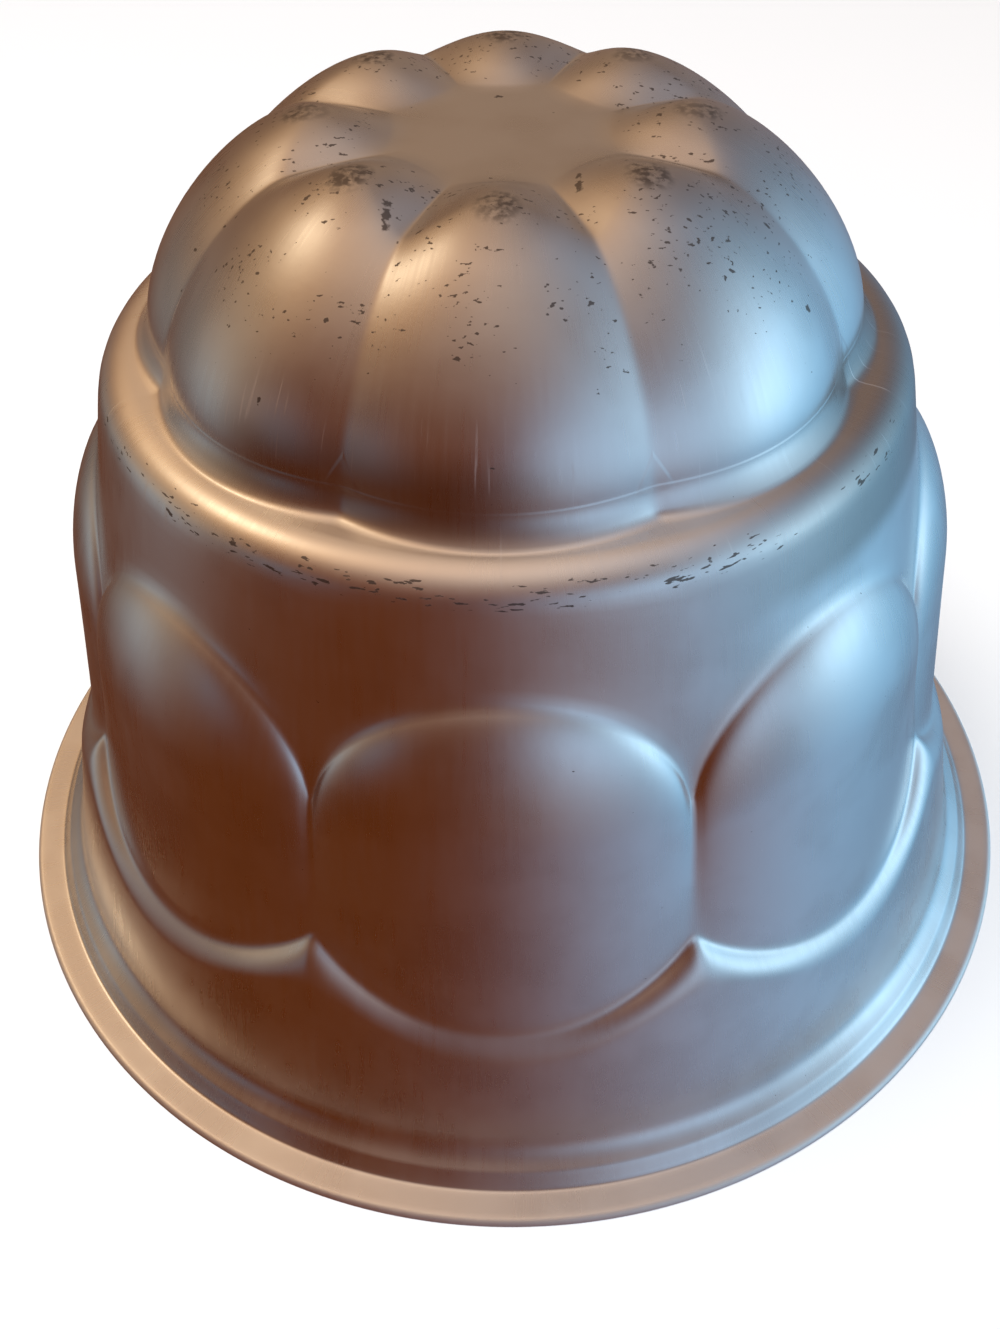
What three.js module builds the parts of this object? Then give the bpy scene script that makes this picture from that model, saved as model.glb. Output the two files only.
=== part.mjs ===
// Jelly mould, pressed from one round blank of aluminium sheet.
// It stands on its mouth: the flat rim is at the bottom and the fluted crown is at the top.
// Sizes are in millimetres, +Z is up, and the origin is the centre of the rim's underside.
// One panel of the body, and the crown's lobe above it, face -Y.

import * as THREE from "three";

// Sheet
const SHEET = 1;

// Repeats round the mould: crown lobes and body panels share their number and their azimuths
const LOBES = 8;
const COLUMNS_PER_LOBE = 10;

// Rim and the bead above it
const RIM_RADIUS = 80;
const RIM_EDGE_ROUNDING = 0.8;
const RIM_INNER_RADIUS = 75.6;
const RIM_FLAT_START = 76.6;
const BEAD_RADIUS = 74.2;
const BEAD_HEIGHT = 3.2;
const BEAD_ROUNDING = 1;

// Foot
const FOOT_RADIUS = 71.6;
const FOOT_HEIGHT = 5;
const FOOT_TAPER = 0.206;
const FOOT_ROUNDING = 5;

// Body wall below the shoulder
const SHOULDER_HEIGHT = 88.4;
const SHOULDER_ROUNDING = 5;
const WALL_RADIUS = 51.1;
const WALL_TAPER = 0.217;

// Panels that stand proud of the wall at the top and sink into the foot at the bottom
const ARCH_CREST_HEIGHT = 73.7;
const ARCH_CREASE_HEIGHT = 54.4;
const SILL_CREST_HEIGHT = 25;
const SILL_CREASE_HEIGHT = 35.5;
const PANEL_SILL_RADIUS = 66;
const PANEL_CREASE_RADIUS = 62.5;
const PANEL_TAPER = 0.131;
const PANEL_NOSE_HEIGHT = 15.4;
const PANEL_NOSE_POWER = 1.55;

// Rolled lip between a panel's sill and the foot
const LIP_CREST_DROP = 4.5;
const LIP_CREASE_DROP = 7;

// Crown
const BAND_CREST_RADIUS = 46.8;
const BAND_CREASE_RADIUS = 44.4;
const LOBE_FOOT_HEIGHT = 92;
const LOBE_FOOT_RADIUS = 44.6;
const LOBE_TOP_HEIGHT = 115.1;
const LOBE_TOP_RADIUS = 21.9;
const LOBE_POWER = 1.53;
const LOBE_NOSE_POWER = 1.1;
const GROOVE_FOOT_RADIUS = 43.1;
const GROOVE_TOP_HEIGHT = 111.8;
const GROOVE_TOP_RADIUS = 25.5;
const GROOVE_POWER = 1.48;
const GROOVE_HEAD_RADIUS = 14.2;
const DISC_HEIGHT = 112.3;
const DISC_RADIUS = 12.2;
const BAND_FLARE_POWER = 1.7;

// How a ring swells from crease to crest: the exponent of 1 - t * t, where t is the distance from
// the crest as a share of half a lobe
const LOBE_SWELL = 1.23;
const DISC_SWELL = 0.7;
const PANEL_SWELL = 1;
const PANEL_SWELL_START = 0.35;
const ARCH_SWELL = 0.5;
const SILL_SWELL = 0.8;
const LIP_SWELL = 1.6;

const QUARTER_TURN = Math.PI / 2;
const LOBE_ANGLE = (2 * Math.PI) / LOBES;
const COLUMNS = LOBES * COLUMNS_PER_LOBE;

const mix = THREE.MathUtils.lerp;

const wallRadius = (height) => WALL_RADIUS + WALL_TAPER * (SHOULDER_HEIGHT - height);

const footRadius = (height) => FOOT_RADIUS + FOOT_TAPER * (FOOT_HEIGHT - height);

// The shares 1/count, 2/count, ... 1
const steps = (count) => Array.from({ length: count }, (_, index) => (index + 1) / count);

// Quarter of a superellipse: share 0 is at (0, 1) and share 1 is at (1, 0)
function quarter(share, power) {
  const angle = share * QUARTER_TURN;
  return { out: Math.sin(angle) ** (2 / power), up: Math.max(Math.cos(angle), 0) ** (2 / power) };
}

// One ring of the outer wall. swell shapes its radius and rise its height, from crease to crest.
function ring(crest, crease, swell, rise) {
  return { crest, crease, swell, rise, flat: false };
}

function roundRing(radius, height, flat = false) {
  const point = { radius, height };
  return { crest: point, crease: point, swell: 1, rise: 1, flat };
}

// Rings round a corner of the profile, on an arc between its two straight sides
function cornerRings(before, corner, after, rounding, count) {
  const from = new THREE.Vector2(before[0] - corner[0], before[1] - corner[1]).normalize();
  const to = new THREE.Vector2(after[0] - corner[0], after[1] - corner[1]).normalize();
  const half = Math.acos(from.dot(to)) / 2;
  const reach = rounding / Math.tan(half);
  const start = new THREE.Vector2(...corner).addScaledVector(from, reach);
  const middle = from.clone().add(to).normalize();
  const centre = new THREE.Vector2(...corner).addScaledVector(middle, rounding / Math.sin(half));
  const sense = Math.sign(from.cross(to));
  return Array.from({ length: count }, (_, index) => {
    const turn = (sense * (2 * half - Math.PI) * index) / (count - 1);
    const point = start.clone().rotateAround(centre, turn);
    return roundRing(point.x, point.y);
  });
}

// Flat disc that reaches into the grooves between the lobes, the rolled inner ends of the lobes,
// the dome of lobes and grooves, and the flared band
function crownRings() {
  const disc = ring(
    { radius: DISC_RADIUS, height: DISC_HEIGHT },
    { radius: GROOVE_HEAD_RADIUS, height: DISC_HEIGHT },
    DISC_SWELL,
    1,
  );
  disc.flat = true;
  const rolls = steps(3).map((share) => {
    const crest = {
      radius: mix(DISC_RADIUS, LOBE_TOP_RADIUS, share),
      height: mix(DISC_HEIGHT, LOBE_TOP_HEIGHT, Math.sin(share * QUARTER_TURN) ** LOBE_NOSE_POWER),
    };
    const crease = {
      radius: mix(GROOVE_HEAD_RADIUS, GROOVE_TOP_RADIUS, share),
      height: mix(DISC_HEIGHT, GROOVE_TOP_HEIGHT, share * share),
    };
    const swell = mix(DISC_SWELL, LOBE_SWELL, share);
    return ring(crest, crease, swell, swell);
  });
  const dome = steps(6).map((share) => {
    const lobe = quarter(share, LOBE_POWER);
    const groove = quarter(share, GROOVE_POWER);
    const crest = {
      radius: mix(LOBE_TOP_RADIUS, LOBE_FOOT_RADIUS, lobe.out),
      height: mix(LOBE_FOOT_HEIGHT, LOBE_TOP_HEIGHT, lobe.up),
    };
    const crease = {
      radius: mix(GROOVE_TOP_RADIUS, GROOVE_FOOT_RADIUS, groove.out),
      height: mix(LOBE_FOOT_HEIGHT, GROOVE_TOP_HEIGHT, groove.up),
    };
    return ring(crest, crease, LOBE_SWELL, LOBE_SWELL);
  });
  const band = steps(2).map((share) => {
    const height = mix(LOBE_FOOT_HEIGHT, SHOULDER_HEIGHT, share);
    const flare = share ** BAND_FLARE_POWER;
    const crest = { radius: mix(LOBE_FOOT_RADIUS, BAND_CREST_RADIUS, flare), height };
    const crease = { radius: mix(GROOVE_FOOT_RADIUS, BAND_CREASE_RADIUS, flare), height };
    const swell = mix(LOBE_SWELL, 1, share);
    return ring(crest, crease, swell, swell);
  });
  return [disc, ...rolls, ...dome, ...band];
}

// Shoulder ledge, rounded over tangent to the tapered wall
function shoulderRings() {
  const taper = Math.atan(WALL_TAPER);
  const centreHeight = SHOULDER_HEIGHT - SHOULDER_ROUNDING;
  const centreRadius = wallRadius(centreHeight) - SHOULDER_ROUNDING / Math.cos(taper);
  return [0, ...steps(3)].map((share) => {
    const turn = share * (QUARTER_TURN - taper);
    return roundRing(
      centreRadius + SHOULDER_ROUNDING * Math.sin(turn),
      centreHeight + SHOULDER_ROUNDING * Math.cos(turn),
    );
  });
}

// Panels from the arch at their top, where each stands proud of the wall, to the sill at their foot
function panelRings() {
  const arch = ring(
    { radius: wallRadius(ARCH_CREST_HEIGHT), height: ARCH_CREST_HEIGHT },
    { radius: wallRadius(ARCH_CREASE_HEIGHT), height: ARCH_CREASE_HEIGHT },
    ARCH_SWELL,
    ARCH_SWELL,
  );
  const panel = steps(7).map((step) => {
    const share = step ** 1.5;
    const height = mix(ARCH_CREST_HEIGHT, SILL_CREST_HEIGHT, share);
    const nose = Math.min((ARCH_CREST_HEIGHT - height) / PANEL_NOSE_HEIGHT, 1);
    const proud = (1 - (1 - nose) ** PANEL_NOSE_POWER) ** (1 / PANEL_NOSE_POWER);
    const face = PANEL_SILL_RADIUS - PANEL_TAPER * (height - SILL_CREST_HEIGHT);
    const crest = { radius: mix(wallRadius(height), face, proud), height };
    const crease = {
      radius: mix(wallRadius(ARCH_CREASE_HEIGHT), PANEL_CREASE_RADIUS, share),
      height: mix(ARCH_CREASE_HEIGHT, SILL_CREASE_HEIGHT, share),
    };
    const swell = mix(ARCH_SWELL, PANEL_SWELL, Math.min(share / PANEL_SWELL_START, 1));
    return ring(crest, crease, swell, mix(ARCH_SWELL, SILL_SWELL, share));
  });
  return [arch, ...panel];
}

// A point of the lip: it leaves the sill at a slant and rolls over onto the foot
function lipPoint(sillRadius, sillHeight, drop, share) {
  const height = sillHeight - drop * share;
  const depth = footRadius(sillHeight) - sillRadius;
  return { radius: footRadius(height) - depth * (1 - share) ** 2, height };
}

// Lip that rolls out from each sill, the flared foot below it, and the bead and flat rim, as far as
// the start of the rim's rounded edge. The lips of two panels meet in a prow that fades downwards.
function footRings() {
  const lip = steps(3).map((share) => {
    const crest = lipPoint(PANEL_SILL_RADIUS, SILL_CREST_HEIGHT, LIP_CREST_DROP, share);
    const crease = lipPoint(PANEL_CREASE_RADIUS, SILL_CREASE_HEIGHT, LIP_CREASE_DROP, share);
    const swell = mix(SILL_SWELL, LIP_SWELL, share);
    return ring(crest, crease, swell, swell);
  });
  const wall = [footRadius(SILL_CREST_HEIGHT), SILL_CREST_HEIGHT];
  const foot = [FOOT_RADIUS, FOOT_HEIGHT];
  const bead = [BEAD_RADIUS, BEAD_HEIGHT];
  const inner = [RIM_INNER_RADIUS, SHEET];
  return [
    ...lip,
    ...cornerRings(wall, foot, bead, FOOT_ROUNDING, 3),
    ...cornerRings(foot, bead, inner, BEAD_ROUNDING, 2),
    roundRing(RIM_INNER_RADIUS, SHEET),
    roundRing(RIM_FLAT_START, SHEET, true),
    roundRing(RIM_RADIUS - RIM_EDGE_ROUNDING, SHEET, true),
  ];
}

// Rounded outer edge of the rim, down to the rim's underside
function edgeRings() {
  const rounded = steps(2).map((share) => {
    const { out, up } = quarter(share, 2);
    return roundRing(
      RIM_RADIUS - RIM_EDGE_ROUNDING * (1 - out),
      SHEET - RIM_EDGE_ROUNDING * (1 - up),
    );
  });
  return [...rounded, roundRing(RIM_RADIUS, 0)];
}

// Distance of a column from its lobe's crest, -1 to 1, with the columns closer near the creases
function shareAt(column) {
  const even = (2 * (column % COLUMNS_PER_LOBE)) / COLUMNS_PER_LOBE - 1;
  return (even + Math.sin(even * QUARTER_TURN)) / 2;
}

function ringPoints({ crest, crease, swell, rise }) {
  return Array.from({ length: COLUMNS }, (_, column) => {
    const share = shareAt(column);
    const bulge = 1 - share * share;
    const radius = mix(crease.radius, crest.radius, bulge ** swell);
    const height = mix(crease.height, crest.height, bulge ** rise);
    const azimuth = (Math.floor(column / COLUMNS_PER_LOBE) + share / 2) * LOBE_ANGLE;
    return new THREE.Vector3(radius * Math.cos(azimuth), radius * Math.sin(azimuth), height);
  });
}

// The inner wall lies one sheet thickness behind the outer one
function innerPoints(rings, outer) {
  return outer.map((points, row) =>
    points.map((point, column) => {
      if (rings[row].flat) return point.clone().setZ(point.z - SHEET);
      const down = new THREE.Vector3().subVectors(outer[row + 1][column], outer[row - 1][column]);
      const around = new THREE.Vector3().subVectors(
        points[(column + 1) % COLUMNS],
        points[(column + COLUMNS - 1) % COLUMNS],
      );
      const outward = down.cross(around).normalize();
      return point.clone().addScaledVector(outward, -SHEET);
    }),
  );
}

// One closed surface: from the crown's centre down the outside, round the rim and up the inside
function shellGeometry() {
  const rings = [
    ...crownRings(),
    ...shoulderRings(),
    ...panelRings(),
    ...footRings(),
  ];
  const outer = rings.map(ringPoints);
  const inner = innerPoints(rings, outer).reverse();
  const rows = [...outer, ...edgeRings().map(ringPoints), ...inner];
  const outerPole = new THREE.Vector3(0, 0, DISC_HEIGHT);
  const innerPole = new THREE.Vector3(0, 0, DISC_HEIGHT - SHEET);
  const vertices = [...rows.flat(), outerPole, innerPole];
  const outerPoleIndex = vertices.length - 2;
  const innerPoleIndex = vertices.length - 1;
  const lastRow = (rows.length - 1) * COLUMNS;
  const faces = [];
  for (let column = 0; column < COLUMNS; column += 1) {
    const next = (column + 1) % COLUMNS;
    faces.push(outerPoleIndex, column, next);
    faces.push(innerPoleIndex, lastRow + next, lastRow + column);
    for (let row = 0; row < lastRow; row += COLUMNS) {
      const below = row + COLUMNS;
      faces.push(row + column, below + column, below + next);
      faces.push(row + column, below + next, row + next);
    }
  }
  const geometry = new THREE.BufferGeometry().setFromPoints(vertices);
  geometry.setIndex(faces);
  geometry.computeVertexNormals();
  return geometry;
}

const shell = new THREE.Mesh(
  shellGeometry(),
  new THREE.MeshStandardMaterial({ color: 0xb9b2ab, metalness: 1, roughness: 0.38 }),
);
shell.name = "mould_shell";

const mould = new THREE.Group();
mould.name = "jelly_mould";
mould.add(shell);

export default mould;
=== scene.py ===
"""Looks of the jelly mould: one pressed aluminium shell, its worn satin finish, and the studio round it."""

import math

import bpy
from mathutils import Matrix, Vector


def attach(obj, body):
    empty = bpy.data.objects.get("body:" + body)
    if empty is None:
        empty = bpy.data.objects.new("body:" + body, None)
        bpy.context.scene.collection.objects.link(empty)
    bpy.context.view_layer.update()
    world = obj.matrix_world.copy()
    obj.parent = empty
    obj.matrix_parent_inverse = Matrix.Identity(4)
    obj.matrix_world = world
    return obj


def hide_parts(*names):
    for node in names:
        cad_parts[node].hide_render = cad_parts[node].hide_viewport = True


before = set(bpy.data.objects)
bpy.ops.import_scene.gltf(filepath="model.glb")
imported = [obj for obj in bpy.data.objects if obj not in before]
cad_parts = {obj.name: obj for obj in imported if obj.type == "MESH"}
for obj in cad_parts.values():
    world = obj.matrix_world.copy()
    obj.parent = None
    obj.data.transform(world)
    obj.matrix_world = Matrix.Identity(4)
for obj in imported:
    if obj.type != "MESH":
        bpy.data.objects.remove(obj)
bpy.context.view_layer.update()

MM = 0.001

# Sheet
SHEET = 1 * MM

# Repeats round the mould
LOBES = 8
COLUMNS_PER_LOBE = 48

# Rim and the bead above it
RIM_RADIUS = 80 * MM
RIM_EDGE_ROUNDING = 0.8 * MM
RIM_INNER_RADIUS = 75.6 * MM
RIM_FLAT_START = 76.6 * MM
BEAD_RADIUS = 74.2 * MM
BEAD_HEIGHT = 3.2 * MM
BEAD_ROUNDING = 1 * MM
RIM_CORNER_ROUNDING = 0.5 * MM

# Foot
FOOT_RADIUS = 71.6 * MM
FOOT_HEIGHT = 5 * MM
FOOT_TAPER = 0.206
FOOT_ROUNDING = 5 * MM

# Body wall below the shoulder
SHOULDER_HEIGHT = 88.4 * MM
SHOULDER_ROUNDING = 5 * MM
WALL_RADIUS = 51.1 * MM
WALL_TAPER = 0.217

# Panels that stand proud of the wall at the top and sink into the foot at the bottom
ARCH_CREST_HEIGHT = 73.7 * MM
ARCH_CREASE_HEIGHT = 54.4 * MM
SILL_CREST_HEIGHT = 25 * MM
SILL_CREASE_HEIGHT = 35.5 * MM
PANEL_SILL_RADIUS = 66 * MM
PANEL_CREASE_RADIUS = 62.5 * MM
PANEL_TAPER = 0.131
PANEL_NOSE_HEIGHT = 15.4 * MM
PANEL_NOSE_POWER = 1.55

# Rolled lip between a panel's sill and the foot
LIP_CREST_DROP = 4.5 * MM
LIP_CREASE_DROP = 7 * MM

# Crown
BAND_CREST_RADIUS = 46.8 * MM
BAND_CREASE_RADIUS = 44.4 * MM
LOBE_FOOT_HEIGHT = 92 * MM
LOBE_FOOT_RADIUS = 44.6 * MM
LOBE_TOP_HEIGHT = 115.1 * MM
LOBE_TOP_RADIUS = 21.9 * MM
LOBE_POWER = 1.53
LOBE_NOSE_POWER = 1.1
GROOVE_FOOT_RADIUS = 43.1 * MM
GROOVE_TOP_HEIGHT = 111.8 * MM
GROOVE_TOP_RADIUS = 25.5 * MM
GROOVE_POWER = 1.48
GROOVE_HEAD_RADIUS = 14.2 * MM
DISC_HEIGHT = 112.3 * MM
DISC_RADIUS = 12.2 * MM
BAND_FLARE_POWER = 1.7

# Exponents that shape a ring between a crease and a crest
LOBE_SWELL = 1.23
DISC_SWELL = 0.7
PANEL_SWELL = 1
ARCH_SWELL = 0.5
SILL_SWELL = 0.8
LIP_SWELL = 1.6

# Share of a panel's way down from which its own exponent holds
PANEL_SWELL_FROM = 0.35

# Rings of the outer wall in each zone, from the crown's centre to the rim
DISC_RINGS = 6
ROLL_RINGS = 14
DOME_RINGS = 32
BAND_RINGS = 8
LEDGE_RINGS = 2
SHOULDER_RINGS = 8
WALL_RINGS = 6
PANEL_RINGS = 44
LIP_RINGS = 12
FOOT_RINGS = 9
COVE_RINGS = 6
BEAD_RINGS = 4
RIM_RINGS = 4
EDGE_RINGS = 6

# Exponent that sets the panels' rings closer together at the arch
PANEL_RING_SPACING = 1.35

# Softening of every fold, as a pressed sheet has no sharp ones
SOFTENING_STEPS = 2
INNER_SOFTENING_STEPS = 3

# Points that are closer than this are one point
MERGE_IN_SKIN = 0.001 * MM
MERGE_SKINS = 0.002 * MM


# Profile of the wall


def mix(start, end, share):
    return start + (end - start) * share


def wall_radius(height):
    return WALL_RADIUS + WALL_TAPER * (SHOULDER_HEIGHT - height)


def foot_radius(height):
    return FOOT_RADIUS + FOOT_TAPER * (FOOT_HEIGHT - height)


def steps(count):
    return [(index + 1) / count for index in range(count)]


def quarter(share, power):
    """Quarter of a superellipse: share 0 is at (0, 1) and share 1 is at (1, 0)."""
    angle = share * math.pi / 2
    return math.sin(angle) ** (2 / power), max(math.cos(angle), 0) ** (2 / power)


def ring(crest, crease, swell, rise):
    """One ring of the outer wall. swell shapes its radius and rise its height, from crease to crest."""
    return {"crest": crest, "crease": crease, "swell": swell, "rise": rise, "flat": 0}


def round_ring(radius, height, flat=0):
    return {"crest": (radius, height), "crease": (radius, height), "swell": 1, "rise": 1, "flat": flat}


def straight_rings(start, end, count, flat=0):
    return [
        round_ring(mix(start[0], end[0], share), mix(start[1], end[1], share), flat)
        for share in steps(count)
    ]


def corner_rings(before, corner, after, rounding, count):
    """Rings round a corner of the profile, on an arc between its two straight sides."""
    corner = Vector(corner)
    start = (Vector(before) - corner).normalized()
    end = (Vector(after) - corner).normalized()
    half = start.angle(end) / 2
    first = corner + start * rounding / math.tan(half)
    centre = corner + (start + end).normalized() * rounding / math.sin(half)
    sweep = math.copysign(math.pi - 2 * half, -start.cross(end))
    rings = []
    for share in [0, *steps(count - 1)]:
        point = centre + Matrix.Rotation(sweep * share, 2) @ (first - centre)
        rings.append(round_ring(point[0], point[1]))
    return rings


def crown_rings():
    """Flat disc that reaches into the grooves, rolled inner ends of the lobes, dome and flared band."""
    rings = [round_ring(0, DISC_HEIGHT, 1)]
    for share in steps(DISC_RINGS):
        crest = (DISC_RADIUS * share, DISC_HEIGHT)
        crease = (GROOVE_HEAD_RADIUS * share, DISC_HEIGHT)
        disc = ring(crest, crease, DISC_SWELL, 1)
        disc["flat"] = 1
        rings.append(disc)
    for share in steps(ROLL_RINGS):
        rise = math.sin(share * math.pi / 2) ** LOBE_NOSE_POWER
        crest = (mix(DISC_RADIUS, LOBE_TOP_RADIUS, share), mix(DISC_HEIGHT, LOBE_TOP_HEIGHT, rise))
        crease = (
            mix(GROOVE_HEAD_RADIUS, GROOVE_TOP_RADIUS, share),
            mix(DISC_HEIGHT, GROOVE_TOP_HEIGHT, share * share),
        )
        swell = mix(DISC_SWELL, LOBE_SWELL, share)
        rings.append(ring(crest, crease, swell, swell))
    for share in steps(DOME_RINGS):
        out, up = quarter(share, LOBE_POWER)
        crest = (mix(LOBE_TOP_RADIUS, LOBE_FOOT_RADIUS, out), mix(LOBE_FOOT_HEIGHT, LOBE_TOP_HEIGHT, up))
        out, up = quarter(share, GROOVE_POWER)
        crease = (
            mix(GROOVE_TOP_RADIUS, GROOVE_FOOT_RADIUS, out),
            mix(LOBE_FOOT_HEIGHT, GROOVE_TOP_HEIGHT, up),
        )
        rings.append(ring(crest, crease, LOBE_SWELL, LOBE_SWELL))
    for share in steps(BAND_RINGS):
        height = mix(LOBE_FOOT_HEIGHT, SHOULDER_HEIGHT, share)
        flare = share**BAND_FLARE_POWER
        crest = (mix(LOBE_FOOT_RADIUS, BAND_CREST_RADIUS, flare), height)
        crease = (mix(GROOVE_FOOT_RADIUS, BAND_CREASE_RADIUS, flare), height)
        swell = mix(LOBE_SWELL, 1, share)
        rings.append(ring(crest, crease, swell, swell))
    return rings


def shoulder_rings():
    """Shoulder ledge, rounded over tangent to the tapered wall."""
    taper = math.atan(WALL_TAPER)
    centre_height = SHOULDER_HEIGHT - SHOULDER_ROUNDING
    centre_radius = wall_radius(centre_height) - SHOULDER_ROUNDING / math.cos(taper)
    rings = []
    for share in steps(LEDGE_RINGS):
        crest = (mix(BAND_CREST_RADIUS, centre_radius, share), SHOULDER_HEIGHT)
        crease = (mix(BAND_CREASE_RADIUS, centre_radius, share), SHOULDER_HEIGHT)
        rings.append(ring(crest, crease, 1, 1))
    for share in steps(SHOULDER_RINGS):
        turn = share * (math.pi / 2 - taper)
        radius = centre_radius + SHOULDER_ROUNDING * math.sin(turn)
        rings.append(round_ring(radius, centre_height + SHOULDER_ROUNDING * math.cos(turn)))
    return rings


def panel_rings(wall_top):
    """Wall between shoulder and arch, then the panels from the arch down to the sill."""
    rings = []
    for share in steps(WALL_RINGS):
        crest_height = mix(wall_top, ARCH_CREST_HEIGHT, share)
        crease_height = mix(wall_top, ARCH_CREASE_HEIGHT, share)
        crest = (wall_radius(crest_height), crest_height)
        crease = (wall_radius(crease_height), crease_height)
        rings.append(ring(crest, crease, ARCH_SWELL, ARCH_SWELL))
    for step in steps(PANEL_RINGS):
        share = step**PANEL_RING_SPACING
        height = mix(ARCH_CREST_HEIGHT, SILL_CREST_HEIGHT, share)
        nose = min((ARCH_CREST_HEIGHT - height) / PANEL_NOSE_HEIGHT, 1)
        proud = (1 - (1 - nose) ** PANEL_NOSE_POWER) ** (1 / PANEL_NOSE_POWER)
        face = PANEL_SILL_RADIUS - PANEL_TAPER * (height - SILL_CREST_HEIGHT)
        crest = (mix(wall_radius(height), face, proud), height)
        crease = (
            mix(wall_radius(ARCH_CREASE_HEIGHT), PANEL_CREASE_RADIUS, share),
            mix(ARCH_CREASE_HEIGHT, SILL_CREASE_HEIGHT, share),
        )
        swell = mix(ARCH_SWELL, PANEL_SWELL, min(share / PANEL_SWELL_FROM, 1))
        rings.append(ring(crest, crease, swell, mix(ARCH_SWELL, SILL_SWELL, share)))
    return rings


def lip_point(sill_radius, sill_height, drop, share):
    """A point of the lip: it leaves the sill at a slant and rolls over onto the foot."""
    height = sill_height - drop * share
    depth = foot_radius(sill_height) - sill_radius
    return foot_radius(height) - depth * (1 - share) ** 2, height


def foot_rings():
    """Lip that rolls out from each sill, and the flared foot as far as its cove.

    The lips of two panels meet in a prow that fades downwards.
    """
    rings = []
    for share in steps(LIP_RINGS):
        crest = lip_point(PANEL_SILL_RADIUS, SILL_CREST_HEIGHT, LIP_CREST_DROP, share)
        crease = lip_point(PANEL_CREASE_RADIUS, SILL_CREASE_HEIGHT, LIP_CREASE_DROP, share)
        swell = mix(SILL_SWELL, LIP_SWELL, share)
        rings.append(ring(crest, crease, swell, swell))
    crest_end = SILL_CREST_HEIGHT - LIP_CREST_DROP
    crease_end = SILL_CREASE_HEIGHT - LIP_CREASE_DROP
    for share in steps(FOOT_RINGS):
        crest_height = mix(crest_end, FOOT_HEIGHT + FOOT_ROUNDING, share)
        crease_height = mix(crease_end, FOOT_HEIGHT + FOOT_ROUNDING, share)
        crest = (foot_radius(crest_height), crest_height)
        crease = (foot_radius(crease_height), crease_height)
        rings.append(ring(crest, crease, LIP_SWELL, LIP_SWELL))
    return rings


def rim_rings():
    """Cove at the foot, bead, and the flat rim as far as the start of its rounded edge."""
    wall = (foot_radius(SILL_CREST_HEIGHT), SILL_CREST_HEIGHT)
    foot = (FOOT_RADIUS, FOOT_HEIGHT)
    bead = (BEAD_RADIUS, BEAD_HEIGHT)
    corner = (RIM_INNER_RADIUS, SHEET)
    flat_start = (RIM_FLAT_START, SHEET)
    rings = corner_rings(wall, foot, bead, FOOT_ROUNDING, COVE_RINGS)
    rings += corner_rings(foot, bead, corner, BEAD_ROUNDING, BEAD_RINGS)
    rings += corner_rings(bead, corner, flat_start, RIM_CORNER_ROUNDING, BEAD_RINGS)
    rings.append(round_ring(RIM_FLAT_START, SHEET, 1))
    outer = (RIM_RADIUS - RIM_EDGE_ROUNDING, SHEET)
    rings += straight_rings(flat_start, outer, RIM_RINGS, 1)
    return rings


def edge_rings():
    """Rounded outer edge of the rim, from its flat top round to its underside."""
    rings = []
    for share in steps(EDGE_RINGS):
        out, up = quarter(share, 2)
        radius = RIM_RADIUS - RIM_EDGE_ROUNDING * (1 - out)
        rings.append(round_ring(radius, SHEET - RIM_EDGE_ROUNDING * (1 - up)))
    rings.append(round_ring(RIM_RADIUS, 0))
    rings.append(round_ring(RIM_RADIUS - RIM_EDGE_ROUNDING, 0))
    return rings


def wall_profile():
    crown = crown_rings()
    shoulder = shoulder_rings()
    wall_top = shoulder[-1]["crest"][1]
    rings = crown + shoulder + panel_rings(wall_top) + foot_rings() + rim_rings()
    if len(rings) % 2 == 0:
        raise ValueError("the inner wall takes every second ring, so their number must be odd")
    return rings


def profile_mesh(rings):
    """A mesh of loose points, one per ring: each point is the ring's crest, and holds the rest."""
    mesh = bpy.data.meshes.new("mould_profile")
    mesh.from_pydata([(item["crest"][0], 0, item["crest"][1]) for item in rings], [], [])
    crease = mesh.attributes.new("crease", "FLOAT_VECTOR", "POINT")
    shape = mesh.attributes.new("shape", "FLOAT_VECTOR", "POINT")
    for index, item in enumerate(rings):
        crease.data[index].vector = (item["crease"][0], 0, item["crease"][1])
        shape.data[index].vector = (item["swell"], item["flat"], item["rise"])
    return mesh


# Geometry nodes


def enabled(sockets, name):
    return next(socket for socket in sockets if socket.name == name and socket.enabled)


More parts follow.
